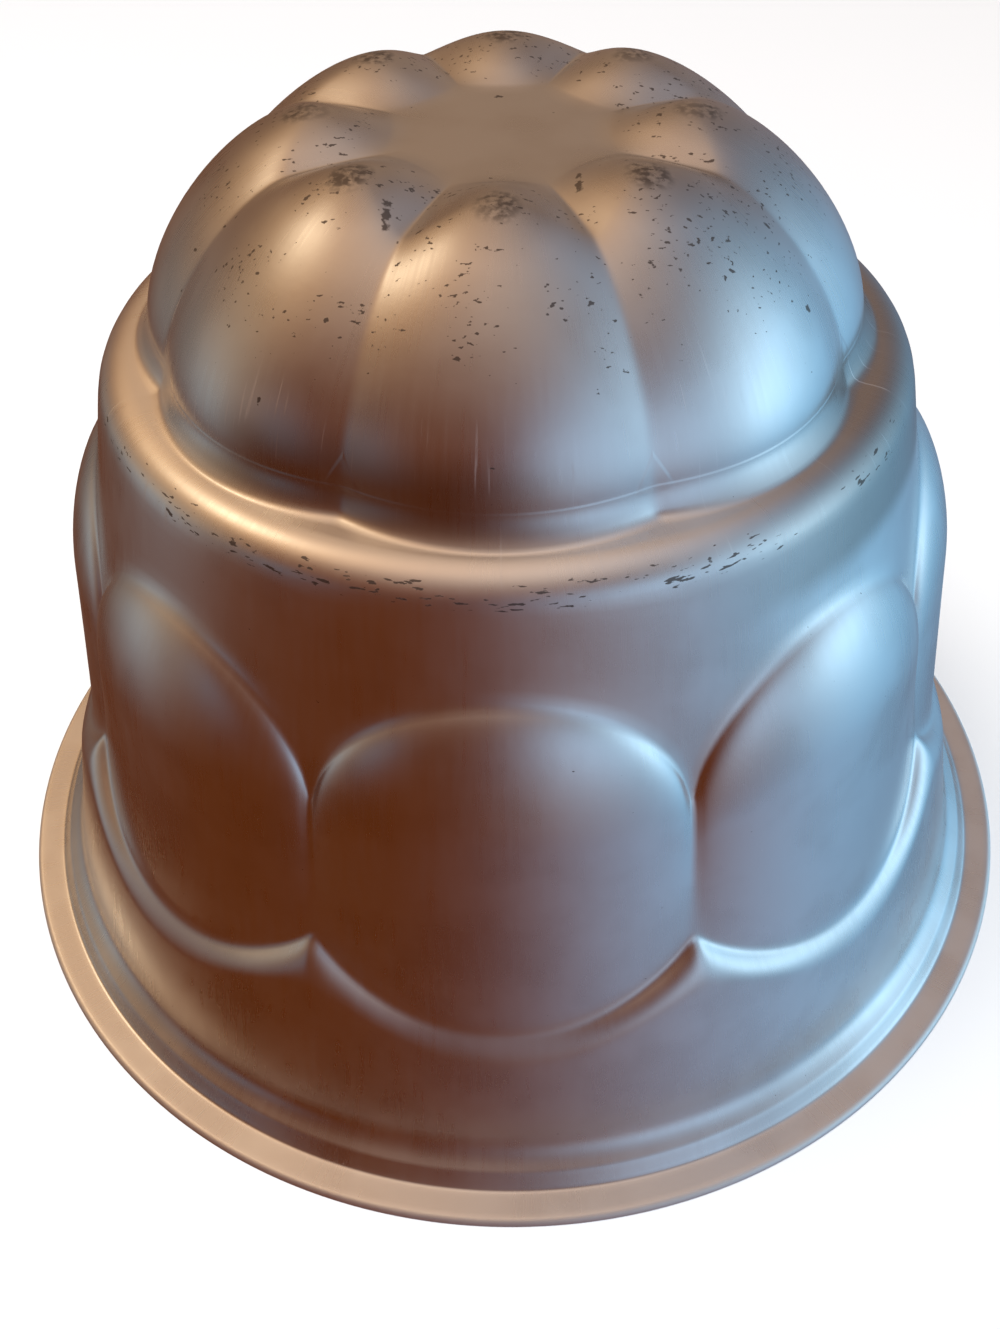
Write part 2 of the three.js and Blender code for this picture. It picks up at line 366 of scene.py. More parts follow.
class Graph:
    """Adds nodes to a tree. Every input takes another node's output or a plain value."""

    def __init__(self, tree):
        self.tree = tree

    def put(self, socket, value):
        if isinstance(value, bpy.types.NodeSocket):
            self.tree.links.new(value, socket)
        else:
            socket.default_value = value

    def add(self, kind, settings=None, **inputs):
        node = self.tree.nodes.new(kind)
        for name, value in (settings or {}).items():
            setattr(node, name, value)
        for name, value in inputs.items():
            self.put(enabled(node.inputs, name.replace("_", " ")), value)
        return node

    def math(self, operation, *values):
        node = self.tree.nodes.new("ShaderNodeMath")
        node.operation = operation
        for socket, value in zip(node.inputs, values):
            self.put(socket, value)
        return node.outputs[0]

    def vector_math(self, operation, *values):
        node = self.tree.nodes.new("ShaderNodeVectorMath")
        node.operation = operation
        for socket, value in zip(node.inputs, values):
            self.put(socket, value)
        return enabled(node.outputs, "Value" if operation in ("DOT_PRODUCT", "LENGTH") else "Vector")

    def scale(self, vector, factor):
        node = self.tree.nodes.new("ShaderNodeVectorMath")
        node.operation = "SCALE"
        self.put(node.inputs[0], vector)
        self.put(node.inputs["Scale"], factor)
        return node.outputs[0]

    def blend(self, kind, factor, start, end):
        """From start to end by the factor. kind is VECTOR or RGBA."""
        node = self.tree.nodes.new("ShaderNodeMix")
        node.data_type = kind
        self.put(node.inputs["Factor"], factor)
        self.put(enabled(node.inputs, "A"), start)
        self.put(enabled(node.inputs, "B"), end)
        return enabled(node.outputs, "Result")

    def whole_times(self, number, size):
        """How many times the size goes into a whole number."""
        return self.math("FLOOR", self.math("DIVIDE", self.math("ADD", number, 0.5), size))

    def split(self, vector):
        return self.add("ShaderNodeSeparateXYZ", Vector=vector).outputs

    def named(self, name, kind="FLOAT_VECTOR"):
        node = self.add("GeometryNodeInputNamedAttribute", {"data_type": kind}, Name=name)
        return enabled(node.outputs, "Attribute")

    def at_index(self, geometry, value, index):
        node = self.tree.nodes.new("GeometryNodeSampleIndex")
        node.data_type = "FLOAT_VECTOR"
        self.put(node.inputs["Geometry"], geometry)
        self.put(enabled(node.inputs, "Value"), value)
        self.put(node.inputs["Index"], index)
        return enabled(node.outputs, "Value")

    def store(self, geometry, name, value):
        node = self.add(
            "GeometryNodeStoreNamedAttribute",
            {"data_type": "FLOAT"},
            Geometry=geometry,
            Name=name,
            Value=value,
        )
        return node.outputs[0]

    def merge(self, geometry, distance):
        return self.add("GeometryNodeMergeByDistance", Geometry=geometry, Distance=distance).outputs[0]

    def soften(self, value, rounds, weight):
        node = self.add(
            "GeometryNodeBlurAttribute",
            {"data_type": "FLOAT_VECTOR"},
            Value=value,
            Iterations=rounds,
            Weight=weight,
        )
        return enabled(node.outputs, "Value")

    def move_to(self, geometry, position):
        return self.add("GeometryNodeSetPosition", Geometry=geometry, Position=position).outputs[0]


def new_tree(name, inputs, output):
    tree = bpy.data.node_groups.new(name, "GeometryNodeTree")
    for label, kind in inputs:
        tree.interface.new_socket(name=label, in_out="INPUT", socket_type=kind)
    tree.interface.new_socket(name=output, in_out="OUTPUT", socket_type="NodeSocketGeometry")
    start = tree.nodes.new("NodeGroupInput")
    end = tree.nodes.new("NodeGroupOutput")
    return tree, Graph(tree), start.outputs, end.inputs


def ring_skin_tree():
    """A skin through a run of the profile's rings, closed round the axis and at the pole."""
    tree, graph, given, result = new_tree(
        "Ring skin",
        [
            ("Profile", "NodeSocketGeometry"),
            ("First ring", "NodeSocketInt"),
            ("Ring step", "NodeSocketInt"),
            ("Rings", "NodeSocketInt"),
            ("Lobes", "NodeSocketInt"),
            ("Columns per lobe", "NodeSocketInt"),
        ],
        "Skin",
    )
    rings = given["Rings"]
    per_lobe = given["Columns per lobe"]
    columns = graph.math("MULTIPLY", given["Lobes"], per_lobe)
    grid = graph.add(
        "GeometryNodeMeshGrid",
        Vertices_X=graph.math("ADD", columns, 1),
        Vertices_Y=rings,
    )
    index = graph.add("GeometryNodeInputIndex").outputs[0]
    column = graph.whole_times(index, rings)
    row = graph.math("SUBTRACT", index, graph.math("MULTIPLY", column, rings))
    ring_index = graph.math("ADD", given["First ring"], graph.math("MULTIPLY", row, given["Ring step"]))

    # The share runs from -1 at one groove to 1 at the next, with closer columns at the grooves
    lobe = graph.whole_times(column, per_lobe)
    column_of_lobe = graph.math("SUBTRACT", column, graph.math("MULTIPLY", lobe, per_lobe))
    within = graph.math("DIVIDE", column_of_lobe, per_lobe)
    even = graph.math("SUBTRACT", graph.math("MULTIPLY", within, 2), 1)
    curved = graph.math("SINE", graph.math("MULTIPLY", even, math.pi / 2))
    share = graph.math("DIVIDE", graph.math("ADD", even, curved), 2)
    lobe_angle = graph.math("DIVIDE", 2 * math.pi, given["Lobes"])
    turn = graph.math("ADD", lobe, graph.math("DIVIDE", share, 2))
    azimuth = graph.math("MULTIPLY", turn, lobe_angle)

    profile = given["Profile"]
    position = graph.add("GeometryNodeInputPosition").outputs[0]
    crest = graph.split(graph.at_index(profile, position, ring_index))
    crease = graph.split(graph.at_index(profile, graph.named("crease"), ring_index))
    shape = graph.split(graph.at_index(profile, graph.named("shape"), ring_index))
    bulge = graph.math("MAXIMUM", graph.math("SUBTRACT", 1, graph.math("MULTIPLY", share, share)), 0)

    def between(axis):
        factor = graph.math("POWER", bulge, shape[axis])
        span = graph.math("SUBTRACT", crest[axis], crease[axis])
        return graph.math("ADD", crease[axis], graph.math("MULTIPLY", span, factor))

    radius = between("X")
    place = graph.add(
        "ShaderNodeCombineXYZ",
        X=graph.math("MULTIPLY", radius, graph.math("COSINE", azimuth)),
        Y=graph.math("MULTIPLY", radius, graph.math("SINE", azimuth)),
        Z=between("Z"),
    )
    skin = graph.store(grid.outputs["Mesh"], "from_crest", graph.math("ABSOLUTE", share))
    skin = graph.store(skin, "flat", shape["Y"])
    skin = graph.move_to(skin, place.outputs[0])
    skin = graph.merge(skin, MERGE_IN_SKIN)
    graph.put(result["Skin"], graph.add("GeometryNodeFlipFaces", Mesh=skin).outputs[0])
    return tree


def pressed_shell_tree():
    """Outer wall, inner wall one sheet behind it, and the rounded edge that joins them."""
    tree, graph, given, result = new_tree(
        "Pressed shell",
        [
            ("Profile", "NodeSocketGeometry"),
            ("Wall rings", "NodeSocketInt"),
            ("Edge rings", "NodeSocketInt"),
            ("Lobes", "NodeSocketInt"),
            ("Columns per lobe", "NodeSocketInt"),
            ("Sheet", "NodeSocketFloat"),
            ("Softening", "NodeSocketInt"),
            ("Inner softening", "NodeSocketInt"),
            ("Metal", "NodeSocketMaterial"),
        ],
        "Shell",
    )
    ring_skin = ring_skin_tree()

    def skin(first, step, count):
        node = tree.nodes.new("GeometryNodeGroup")
        node.node_tree = ring_skin
        for name, value in (
            ("Profile", given["Profile"]),
            ("First ring", first),
            ("Ring step", step),
            ("Rings", count),
            ("Lobes", given["Lobes"]),
            ("Columns per lobe", given["Columns per lobe"]),
        ):
            graph.put(node.inputs[name], value)
        return node.outputs["Skin"]

    position = graph.add("GeometryNodeInputPosition").outputs[0]
    bent = graph.math("SUBTRACT", 1, graph.named("flat", "FLOAT"))
    wall_rings = given["Wall rings"]

    outer = skin(0, 1, wall_rings)
    outer = graph.move_to(outer, graph.soften(position, given["Softening"], bent))

    half = graph.math("DIVIDE", graph.math("ADD", wall_rings, 1), 2)
    inner = skin(0, 2, half)
    normal = graph.add("GeometryNodeInputNormal").outputs[0]
    soft_normal = graph.vector_math("NORMALIZE", graph.soften(normal, given["Inner softening"], bent))
    outwards = graph.blend("VECTOR", graph.named("flat", "FLOAT"), soft_normal, Vector((0, 0, 1)))
    back = graph.scale(outwards, graph.math("MULTIPLY", given["Sheet"], -1))
    inner = graph.add("GeometryNodeSetPosition", Geometry=inner, Offset=back).outputs[0]
    inner = graph.move_to(inner, graph.soften(position, given["Inner softening"], bent))
    inner = graph.add("GeometryNodeFlipFaces", Mesh=inner).outputs[0]

    last = graph.math("SUBTRACT", wall_rings, 1)
    edge = skin(last, 1, graph.math("ADD", given["Edge rings"], 1))

    join = tree.nodes.new("GeometryNodeJoinGeometry")
    for part in (edge, inner, outer):
        tree.links.new(part, join.inputs[0])
    whole = graph.merge(join.outputs[0], MERGE_SKINS)
    whole = graph.add("GeometryNodeSetShadeSmooth", Geometry=whole).outputs[0]
    whole = graph.add("GeometryNodeRealizeInstances", Geometry=whole).outputs[0]
    whole = graph.add("GeometryNodeSetMaterial", Geometry=whole, Material=given["Metal"]).outputs[0]
    graph.put(result["Shell"], whole)
    return tree


def set_inputs(modifier, values):
    for item in modifier.node_group.interface.items_tree:
        if item.item_type == "SOCKET" and item.in_out == "INPUT" and item.name in values:
            modifier[item.identifier] = values[item.name]


def pressed_shell(metal):
    wall = wall_profile()
    edge = edge_rings()
    carrier = bpy.data.objects.new("profile_carrier", profile_mesh(wall + edge))
    bpy.context.scene.collection.objects.link(carrier)
    modifier = carrier.modifiers.new("Pressed shell", "NODES")
    modifier.node_group = pressed_shell_tree()
    sizes = {
        "Wall rings": len(wall),
        "Edge rings": len(edge),
        "Lobes": LOBES,
        "Columns per lobe": COLUMNS_PER_LOBE,
        "Sheet": SHEET,
        "Softening": SOFTENING_STEPS,
        "Inner softening": INNER_SOFTENING_STEPS,
        "Metal": metal,
    }
    set_inputs(modifier, sizes)
    evaluated = carrier.evaluated_get(bpy.context.evaluated_depsgraph_get())
    mesh = bpy.data.meshes.new_from_object(evaluated)
    mesh.name = "pressed_shell"
    carrier.modifiers.remove(modifier)
    bpy.data.objects.remove(carrier)
    shell = bpy.data.objects.new("pressed_shell", mesh)
    bpy.context.scene.collection.objects.link(shell)
    return shell


# Finish, with sizes and places in millimetres

# Colours of the metal and its marks
CLEAN_METAL = (0.816, 0.816, 0.816, 1)
DULL_METAL = (0.744, 0.728, 0.72, 1)
CUT_EDGE = (0.95, 0.92, 0.88, 1)
# Colour of the painted highlight on the shoulder's ledge
LEDGE_HIGHLIGHT_COLOUR = (0.97, 0.96, 0.94, 1)
# Colour of the painted shade on the crown's top, in the crease at its foot and on the right shoulder
PAINTED_SHADE_COLOUR = (0.34, 0.29, 0.255, 1)
SCRATCH = (0.97, 0.97, 0.97, 1)
PIT = (0.12, 0.1, 0.09, 1)

# Roughness of the metal, how far it varies from place to place, and what is added to it
METAL_ROUGHNESS = 0.29
ROUGHNESS_SWING = 0.03
MARK_ROUGHNESS = 0.22
EDGE_ROUGHNESS = 0.3

# Heights between which a mark comes in
ON_CROWN = (91.0, 96.0)
TOWARDS_TOP = (95.0, 111.0)
BELOW_SHOULDER = (88.0, 84.0)

# Radii between which a mark comes in
OFF_DISC = (12.0, 17.0)
GRAIN_OFF_DISC = (12.0, 22.0)
AT_CUT_EDGE = (79.1, 79.6)

# Depths between which a mark comes in, from the mould's axis towards the front
TOWARDS_FRONT = (0.0, -40.0)

# Patch that is most rubbed on top of each lobe. Its width is a share of the way from crest to groove.
PATCH_RADIUS = 22.5
PATCH_HALF_LENGTH = 3.0
PATCH_HALF_WIDTH = 0.3
PATCH_FADES = (112.0, 108.0)

# Two streaks beside the front lobe's head: their stretches of X and of Y
STREAKS = (
    ((-11.9, -11.3), (-23.0, -19.5)),
    ((8.4, 8.8), (-16.0, -12.5)),
)
STREAK_HEIGHTS = (108.0, 110.0)

# Band of scraped flecks on the shoulder's outer turn, and of scratches low on the lobes
SCRAPED_HEIGHTS = (85.4, 86.8)
SCRAPED_RADII = (48.6, 49.6)
SCRATCHED_HEIGHTS = (90.0, 98.0)

# Painted shade: darker on the crown's top and round each rubbed patch, in the crease at the crown's foot,
# and on the right shoulder
SHADE_ON_TOP = (102.0, 112.0)
SHADE_ROUND_PATCH = (7.0, 1.0)
SHADE_FOOT_HEIGHTS = (91.0, 94.0)
SHADE_FOOT_TO_LEFT = (14.0, -4.0)
SHADE_FOOT_TO_FRONT = (-26.0, -36.0)
SHADE_SHOULDER_HEIGHTS = (80.0, 90.0)
SHADE_SHOULDER_TO_RIGHT = (18.0, 44.0)

# Painted highlight on the shoulder's ledge, at its front and left
LEDGE_HIGHLIGHT_HEIGHTS = (86.6, 89.0)
LEDGE_HIGHLIGHT_TO_LEFT = (30.0, -5.0)

# Faint step that the die left round the crown's foot, and the tick at each groove
DIE_STEP = (91.7, 92.1)
TICK_FOOT = (91.0, 92.0)
TICK_TOP = 95.0
TICK_SLOPE = 28.0
TICK_WIDTH = (0.86, 0.93)
TICK_RISE = 0.45
STEP_DROP = 0.6

# Heights of the relief: the die's line, and the fine unevenness of pressed sheet
DIE_RELIEF = 0.08
PEEL_RELIEF = 0.006

# Radius that every place is given before the grain is laid, so that its lines run straight up the wall
GRAIN_RADIUS = 40.0


class Finish(Graph):
    """Adds texture nodes that work in millimetres on the shell's own coordinates."""

    def __init__(self, tree):
        super().__init__(tree)
        place = self.add("ShaderNodeTexCoord").outputs["Object"]
        self.place = self.scale(place, 1 / MM)
        axes = self.split(self.place)
        self.across = axes["X"]
        self.depth = axes["Y"]
        self.height = axes["Z"]
        around = self.vector_math("MULTIPLY", self.place, Vector((1, 1, 0)))
        self.radius = self.vector_math("LENGTH", around)
        one_radius = self.scale(around, self.math("DIVIDE", GRAIN_RADIUS, self.radius))
        upwards = self.vector_math("MULTIPLY", self.place, Vector((0, 0, 1)))
        self.on_cylinder = self.vector_math("ADD", one_radius, upwards)
        self.from_crest = self.add("ShaderNodeAttribute", {"attribute_name": "from_crest"}).outputs["Fac"]

    def ramp(self, value, start, end, low=0.0, high=1.0):
        """Smooth step from low at start to high at end."""
        node = self.add(
            "ShaderNodeMapRange",
            {"interpolation_type": "SMOOTHSTEP"},
            Value=value,
            From_Min=start,
            From_Max=end,
            To_Min=low,
            To_Max=high,
        )
        return node.outputs["Result"]

    def window(self, value, low, high, soft):
        """1 between low and high, and 0 beyond them by more than soft."""
        rise = self.ramp(value, low - soft, low)
        fall = self.ramp(value, high, high + soft, 1.0, 0.0)
        return self.math("MULTIPLY", rise, fall)

    def noise(self, size, stretch=(1, 1, 1), detail=2.0, place=None):
        """Noise whose features are about size millimetres across, before the stretch."""
        place = self.vector_math("MULTIPLY", self.place if place is None else place, Vector(stretch))
        node = self.add("ShaderNodeTexNoise", Vector=place, Scale=1 / size, Detail=detail)
        return node.outputs["Fac"]

    def flecks(self, texture, crowd, rare, thick):
        """Flecks where the texture is above a level that falls from rare to thick as the crowd grows."""
        level = self.ramp(crowd, 0.0, 1.0, rare, thick)
        return self.ramp(self.math("SUBTRACT", texture, level), 0.0, 0.03)

    def ragged(self, size, amount):
        """The place, pushed about by up to amount, so that spots come out ragged."""
        node = self.add("ShaderNodeTexNoise", Vector=self.place, Scale=1 / size, Detail=2.0)
        push = self.vector_math("SUBTRACT", node.outputs["Color"], Vector((0.5, 0.5, 0.5)))
        push = self.scale(push, 2 * amount)
        return self.vector_math("ADD", self.place, push)

    def spots(self, place, cell, radius, stretch=(1, 1, 1)):
        """Spots up to radius in size, one to a cell of space, and a random number for each cell."""
        place = self.vector_math("MULTIPLY", place, Vector(stretch))
        cells = self.add("ShaderNodeTexVoronoi", Vector=place, Scale=1 / cell)
        chance = self.split(cells.outputs["Color"])
        size = self.math("MULTIPLY", self.math("POWER", chance["X"], 2.0), 0.85 * radius / cell)
        size = self.math("ADD", size, 0.15 * radius / cell)
        inside = self.math("DIVIDE", cells.outputs["Distance"], size)
        return self.ramp(inside, 1.0, 0.7), chance["Y"]

    def some(self, spots, share):
        """Only a share of the spots, which may vary from place to place."""
        spot, chance = spots
        return self.math("MULTIPLY", spot, self.math("LESS_THAN", chance, share))

    def either(self, *masks):
        """The strongest of several masks."""
        result = masks[0]
        for mask in masks[1:]:
            result = self.math("MAXIMUM", result, mask)
        return result

    def both(self, *masks):
        """The masks multiplied, so that all of them have to hold."""
        result = masks[0]
        for mask in masks[1:]:
            result = self.math("MULTIPLY", result, mask)
        return result

    def tinted(self, mask, colour, other, strength=1.0):
        """The colour, turned towards the other one by the mask."""
        if strength != 1.0:
            mask = self.math("MULTIPLY", mask, strength)
        return self.blend("RGBA", mask, colour, other)


def from_lobe_top(finish):
    """0 at the highest spot of each lobe, and 1 where the patch that is most rubbed there ends."""
    across = finish.math("DIVIDE", finish.from_crest, PATCH_HALF_WIDTH)
    along = finish.math("DIVIDE", finish.math("SUBTRACT", finish.radius, PATCH_RADIUS), PATCH_HALF_LENGTH)
    across_squared = finish.math("MULTIPLY", across, across)
    reach = finish.math("ADD", across_squared, finish.math("MULTIPLY", along, along))
    return finish.math("ADD", reach, finish.ramp(finish.height, *PATCH_FADES, 0.0, 9.0))


def crown_nicks(finish, clusters):
    """Small dark nicks, thicker towards the top of the crown and in clusters."""
    crowd = finish.both(
        finish.ramp(clusters, 0.38, 0.56, 0.2, 1.0),
        finish.ramp(finish.height, *TOWARDS_TOP, 0.1, 1.0),
        finish.ramp(finish.height, *ON_CROWN),
        finish.ramp(finish.radius, *OFF_DISC, 0.1, 1.0),
    )
    return finish.flecks(finish.noise(0.65, (0.6, 1.0, 1.2), 3.0), crowd, 0.76, 0.63)


def crown_pits(finish, place):
    share = finish.math("MULTIPLY", finish.ramp(finish.height, *ON_CROWN), 0.4)
    return finish.some(finish.spots(place, 3.4, 0.5, (0.7, 1.1, 0.8)), share)


def worn_tops(finish, clusters, broken):
    """Dark and broken wear where each lobe is highest."""
    return finish.both(
        finish.ramp(from_lobe_top(finish), 1.3, 0.2),
        finish.ramp(broken, 0.34, 0.62),
        finish.ramp(clusters, 0.3, 0.55, 0.4, 1.0),
    )


def head_streaks(finish, place, broken):
    """The two short streaks beside the front lobe's head."""
    axes = finish.split(place)
    streaks = [
        finish.both(finish.window(axes["X"], *width, 0.2), finish.window(axes["Y"], *length, 0.4))
        for width, length in STREAKS
    ]
    return finish.both(
        finish.either(*streaks),
        finish.ramp(broken, 0.34, 0.5),
        finish.ramp(finish.height, *STREAK_HEIGHTS),
    )


def shoulder_flecks(finish, clusters):
    """Flecks scraped along the shoulder's outer turn, thickest at the front."""
    scraped = finish.both(
        finish.window(finish.height, *SCRAPED_HEIGHTS, 1.6),
        finish.ramp(finish.radius, *SCRAPED_RADII),
        finish.ramp(finish.depth, *TOWARDS_FRONT, 0.3, 1.0),
        finish.ramp(clusters, 0.34, 0.5, 0.3, 1.0),
    )
    return finish.flecks(finish.noise(0.62, (0.33, 0.33, 1.7), 3.0), scraped, 0.82, 0.6)


def dark_marks(finish, place, body_spots):
    """Where the metal is dark: nicks, pits, worn tops and streaks on the crown, flecks and pits below."""
    clusters = finish.noise(6.0)
    broken = finish.noise(0.9, detail=3.0)
    return finish.either(
        crown_nicks(finish, clusters),
        crown_pits(finish, place),
        worn_tops(finish, clusters, broken),
        head_streaks(finish, place, broken),
        shoulder_flecks(finish, clusters),
        finish.some(body_spots, 0.16),
    )


def light_marks(finish, body_spots):
    """Where the metal is bright: fine scratches low on the lobes, and specks on the body."""
    scratches = finish.both(
        finish.window(finish.height, *SCRATCHED_HEIGHTS, 8.0),
        finish.ramp(finish.noise(0.34, (1, 1, 0.03), 1.0, finish.on_cylinder), 0.66, 0.76),
        finish.ramp(finish.noise(6.0, (1, 1, 0.6), 1.0), 0.45, 0.6),
    )
    spot, chance = body_spots
    specks = finish.math("MULTIPLY", spot, finish.math("GREATER_THAN", chance, 0.8))
    return finish.either(scratches, specks)


def painted_shade(finish):
    """Painted shade: darker on the crown's top and round each lobe's rubbed patch, in the crease at its
    front left foot, and on the right shoulder.
    """
    top = finish.ramp(finish.height, *SHADE_ON_TOP, 0.0, 0.42)
    round_patch = finish.ramp(from_lobe_top(finish), *SHADE_ROUND_PATCH, 0.0, 0.2)
    foot = finish.both(
        finish.window(finish.height, *SHADE_FOOT_HEIGHTS, 5.0),
        finish.ramp(finish.across, *SHADE_FOOT_TO_LEFT),
        finish.ramp(finish.depth, *SHADE_FOOT_TO_FRONT, 0.0, 0.65),
    )
    shoulder = finish.both(
        finish.window(finish.height, *SHADE_SHOULDER_HEIGHTS, 4.0),
        finish.ramp(finish.across, *SHADE_SHOULDER_TO_RIGHT, 0.0, 0.72),
    )
    return finish.either(finish.math("ADD", top, round_patch), foot, shoulder)


def painted_ledge_highlight(finish):
    """Painted highlight on the shoulder's ledge, at its front and left."""
    ledge = finish.window(finish.height, *LEDGE_HIGHLIGHT_HEIGHTS, 1.0)
    return finish.math("MULTIPLY", ledge, finish.ramp(finish.across, *LEDGE_HIGHLIGHT_TO_LEFT))


def die_line(finish):
    """Height of the faint step that the die left round the crown's foot, with a tick at each groove."""
    step = finish.ramp(finish.height, *DIE_STEP)
    fading = finish.math("MULTIPLY", finish.math("SUBTRACT", 1.0, finish.from_crest), TICK_SLOPE)
    tick_top = finish.math("SUBTRACT", TICK_TOP, fading)
    tick = finish.both(
        finish.ramp(finish.math("SUBTRACT", finish.height, tick_top), 0.9, 0.0),
        finish.ramp(finish.from_crest, *TICK_WIDTH),
        finish.ramp(finish.height, *TICK_FOOT),
    )
    raised = finish.math("MULTIPLY", tick, TICK_RISE)
    return finish.math("SUBTRACT", raised, finish.math("MULTIPLY", step, STEP_DROP))


def metal_colour(finish, mottle, edge, dark, light):
    """Mottled metal, brighter at the rim's cut edge, with a painted highlight on the ledge and painted shade
    on the crown's top, at its foot and on the right shoulder, scratched and pitted.
    """
    colour = finish.blend("RGBA", finish.ramp(mottle, 0.35, 0.6), DULL_METAL, CLEAN_METAL)
    colour = finish.tinted(edge, colour, CUT_EDGE)
    # Painted highlight on the shoulder's ledge, at its front and left
    colour = finish.tinted(painted_ledge_highlight(finish), colour, LEDGE_HIGHLIGHT_COLOUR)
    # Painted shade on the crown's top, in the crease at its foot and on the right shoulder
    colour = finish.tinted(painted_shade(finish), colour, PAINTED_SHADE_COLOUR)
    colour = finish.tinted(light, colour, SCRATCH, 0.5)
    return finish.tinted(dark, colour, PIT, 0.85)


def metal_roughness(finish, mottle, edge, dark, light):
    """Satin with a grain that runs up the wall, rougher at the marks and at the rim's cut edge."""
    smoother = METAL_ROUGHNESS - ROUGHNESS_SWING
    rougher = METAL_ROUGHNESS + ROUGHNESS_SWING
    rough = finish.ramp(mottle, 0.25, 0.75, smoother, rougher)
    grain = finish.math("SUBTRACT", finish.noise(0.5, (1, 1, 0.06), 1.0, finish.on_cylinder), 0.5)
    grain = finish.math("MULTIPLY", grain, finish.ramp(finish.radius, *GRAIN_OFF_DISC, 0.0, 0.1))
    rough = finish.math("ADD", rough, grain)
    marks = finish.math("MULTIPLY", finish.math("ADD", dark, light), MARK_ROUGHNESS)
    rough = finish.math("ADD", rough, marks)
    return finish.math("ADD", rough, finish.math("MULTIPLY", edge, EDGE_ROUGHNESS))


def metal_relief(finish):
    """Fine unevenness of pressed sheet, and the die's line."""
    peel = finish.math("MULTIPLY", finish.noise(0.9), PEEL_RELIEF)
    relief = finish.math("ADD", peel, finish.math("MULTIPLY", die_line(finish), DIE_RELIEF))
    return finish.add("ShaderNodeBump", Strength=1.0, Distance=MM, Height=relief).outputs["Normal"]


def worn_aluminium():
    material = bpy.data.materials.new("worn_aluminium")
    material.use_nodes = True
    finish = Finish(material.node_tree)
    shader = material.node_tree.nodes["Principled BSDF"]
    shader.inputs["Metallic"].default_value = 1

    place = finish.ragged(0.6, 0.6)
    spot, chance = finish.spots(place, 6.5, 0.38)
    body_spots = (finish.both(spot, finish.ramp(finish.height, *BELOW_SHOULDER)), chance)
    dark = dark_marks(finish, place, body_spots)
    light = light_marks(finish, body_spots)
    mottle = finish.noise(14.0, detail=3.0)
    edge = finish.ramp(finish.radius, *AT_CUT_EDGE)
    finish.put(shader.inputs["Base Color"], metal_colour(finish, mottle, edge, dark, light))
    finish.put(shader.inputs["Roughness"], metal_roughness(finish, mottle, edge, dark, light))
    finish.put(shader.inputs["Normal"], metal_relief(finish))
    return material


# Studio

# Camera, fitted to the photo: its distance and aim are shares of the rim's radius
CAMERA_FOCAL_PIXELS = 1378.2
CAMERA_ELEVATION = 0.7884
CAMERA_DISTANCE = 2.7614 * RIM_RADIUS
CAMERA_ROLL = -0.0244
CAMERA_AIM = (-0.0206 * RIM_RADIUS, 0.3143 * RIM_RADIUS)
CAMERA_AZIMUTH = math.radians(2.05)
CAMERA_SENSOR = 36
FRAME_WIDTH = 1000

# Floor, just under the rim
FLOOR_HALF_WIDTH = 3
FLOOR_DROP = 0.05 * MM
FLOOR_COLOUR = (0.81, 0.87, 0.91, 1)
FLOOR_ROUGHNESS = 0.8

# Soft light overhead, in metres and watts
OVERHEAD_PLACE = (-0.3, -0.2, 1.5)
OVERHEAD_WIDTH = 1.2
OVERHEAD_POWER = 24


def place_camera():
    data = bpy.data.cameras.new("camera")
    data.sensor_fit = "HORIZONTAL"
    data.sensor_width = CAMERA_SENSOR
    data.lens = CAMERA_SENSOR * CAMERA_FOCAL_PIXELS / FRAME_WIDTH
    data.clip_start = 0.01
    camera = bpy.data.objects.new("camera", data)
    bpy.context.scene.collection.objects.link(camera)
    forward = Vector((0, math.cos(CAMERA_ELEVATION), -math.sin(CAMERA_ELEVATION)))
    right = Vector((1, 0, 0))
    up = right.cross(forward)
    rolled_right = math.cos(CAMERA_ROLL) * right + math.sin(CAMERA_ROLL) * up
    rolled_up = math.cos(CAMERA_ROLL) * up - math.sin(CAMERA_ROLL) * right
    turn = Matrix.Rotation(CAMERA_AZIMUTH, 3, "Z")
    aim = Vector((CAMERA_AIM[0], 0, CAMERA_AIM[1]))
    place = turn @ (aim - CAMERA_DISTANCE * forward)
    axes = Matrix((turn @ rolled_right, turn @ rolled_up, turn @ -forward)).transposed()
    camera.matrix_world = Matrix.Translation(place) @ axes.to_4x4()
    bpy.context.scene.camera = camera


def lay_floor():
    size = FLOOR_HALF_WIDTH
    mesh = bpy.data.meshes.new("floor")
    corners = [(-size, -size), (size, -size), (size, size), (-size, size)]
    mesh.from_pydata([(x, y, -FLOOR_DROP) for x, y in corners], [], [(0, 1, 2, 3)])
    floor = bpy.data.objects.new("floor", mesh)
    bpy.context.scene.collection.objects.link(floor)
    material = bpy.data.materials.new("floor")
    material.use_nodes = True
    shader = material.node_tree.nodes["Principled BSDF"]
    shader.inputs["Base Color"].default_value = FLOOR_COLOUR
    shader.inputs["Roughness"].default_value = FLOOR_ROUGHNESS
    mesh.materials.append(material)
    floor.visible_glossy = False


def direction(azimuth, elevation):
    """Unit vector in degrees: azimuth 0 looks at the front of the mould, 90 at its right."""
    azimuth, elevation = math.radians(azimuth), math.radians(elevation)
    flat = math.cos(elevation)
    return Vector((math.sin(azimuth) * flat, -math.cos(azimuth) * flat, math.sin(elevation)))


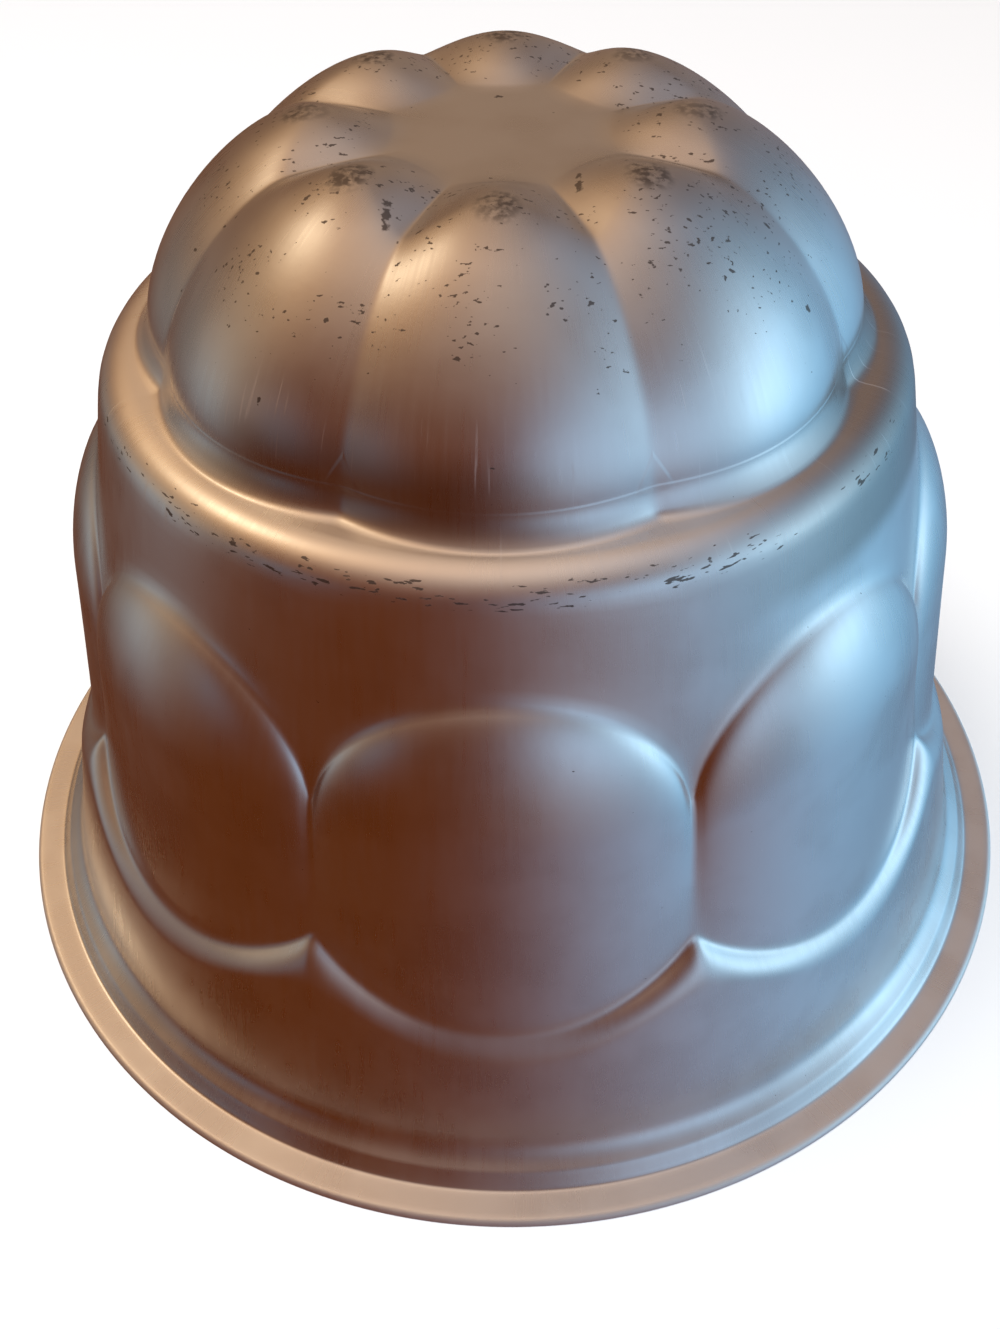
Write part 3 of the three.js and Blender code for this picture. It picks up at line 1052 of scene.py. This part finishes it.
# Soft panels and walls of the studio: azimuth and elevation in degrees, tightness, and colour
STUDIO_PANELS = {
    "window": (86, 12, 9, (0.45, 0.47, 0.48)),
    "window_surround": (91, 7, 4.4, (0.13, 0.59, 0.92)),
    "window_core": (77, 2, 40, (0.28, 0.42, 0.50)),
    "lamp_core": (-111, 50, 75, (1.7, 1.5, 1.1)),
    "lamp": (-95, 50, 20, (0.44, 0.25, 0.10)),
    "lamp_glow": (-130, 43, 12, (0.54, 0.35, 0.18)),
    "ceiling": (0, 83, 6, (0.45, 0.41, 0.355)),
    "ceiling_back": (180, 63, 9, (0.20, 0.17, 0.13)),
    "ceiling_left": (-100, 75, 12, (0.22, 0.10, 0.03)),
    "ceiling_right": (112, 60, 12, (0.0, 0.05, 0.11)),
    "left_wall": (-94, 12, 12, (0.20, 0.20, 0.15)),
    "left_pane": (-97, -9, 28, (0.13, 0.23, 0.28)),
    "left_pane_near": (-57, 4, 42, (0.02, 0.10, 0.15)),
    "left_back": (-126, -8, 20, (0.03, 0.09, 0.10)),
    "back_wall": (180, 18, 7, (0.25, 0.21, 0.145)),
    "right_table": (129, -22, 7, (0.06, 0.25, 0.41)),
    "right_front_table": (85, -32, 12, (0.02, 0.10, 0.17)),
    "front_wall": (34, 8, 13, (0.29, 0.46, 0.63)),
    "front_table": (54, -51, 10, (0.15, 0.26, 0.39)),
    "front_middle": (22, -16, 14, (0.075, 0.07, 0.07)),
}

# Colour of the room where no panel shines
DARK_TABLE = (0.122, 0.026, 0.003)


def surround_with_panels():
    """The room that the metal mirrors: a dark table with the soft panels' glow added to it."""
    world = bpy.data.worlds.new("studio")
    bpy.context.scene.world = world
    world.use_nodes = True
    graph = Graph(world.node_tree)
    background = world.node_tree.nodes["Background"]
    looking = graph.add("ShaderNodeTexCoord").outputs["Generated"]
    colour = Vector(DARK_TABLE)
    for azimuth, elevation, tightness, tint in STUDIO_PANELS.values():
        facing = graph.vector_math("DOT_PRODUCT", looking, direction(azimuth, elevation))
        fall = graph.math("MULTIPLY", graph.math("SUBTRACT", facing, 1), tightness)
        glow = graph.scale(Vector(tint), graph.math("EXPONENT", fall))
        colour = graph.vector_math("ADD", colour, glow)
    graph.put(background.inputs["Color"], colour)


def hang_overhead_light():
    """A soft round light that points at the mould and doesn't show in it."""
    data = bpy.data.lights.new("overhead", "AREA")
    data.shape = "DISK"
    data.size = OVERHEAD_WIDTH
    data.energy = OVERHEAD_POWER
    light = bpy.data.objects.new("overhead", data)
    light.location = OVERHEAD_PLACE
    light.rotation_euler = Vector(OVERHEAD_PLACE).to_track_quat("Z", "Y").to_euler()
    light.visible_glossy = False
    bpy.context.scene.collection.objects.link(light)


bpy.context.scene.view_settings.view_transform = "Standard"
place_camera()
lay_floor()
surround_with_panels()
hang_overhead_light()
shell = pressed_shell(worn_aluminium())
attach(shell, "root")
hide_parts("mould_shell")
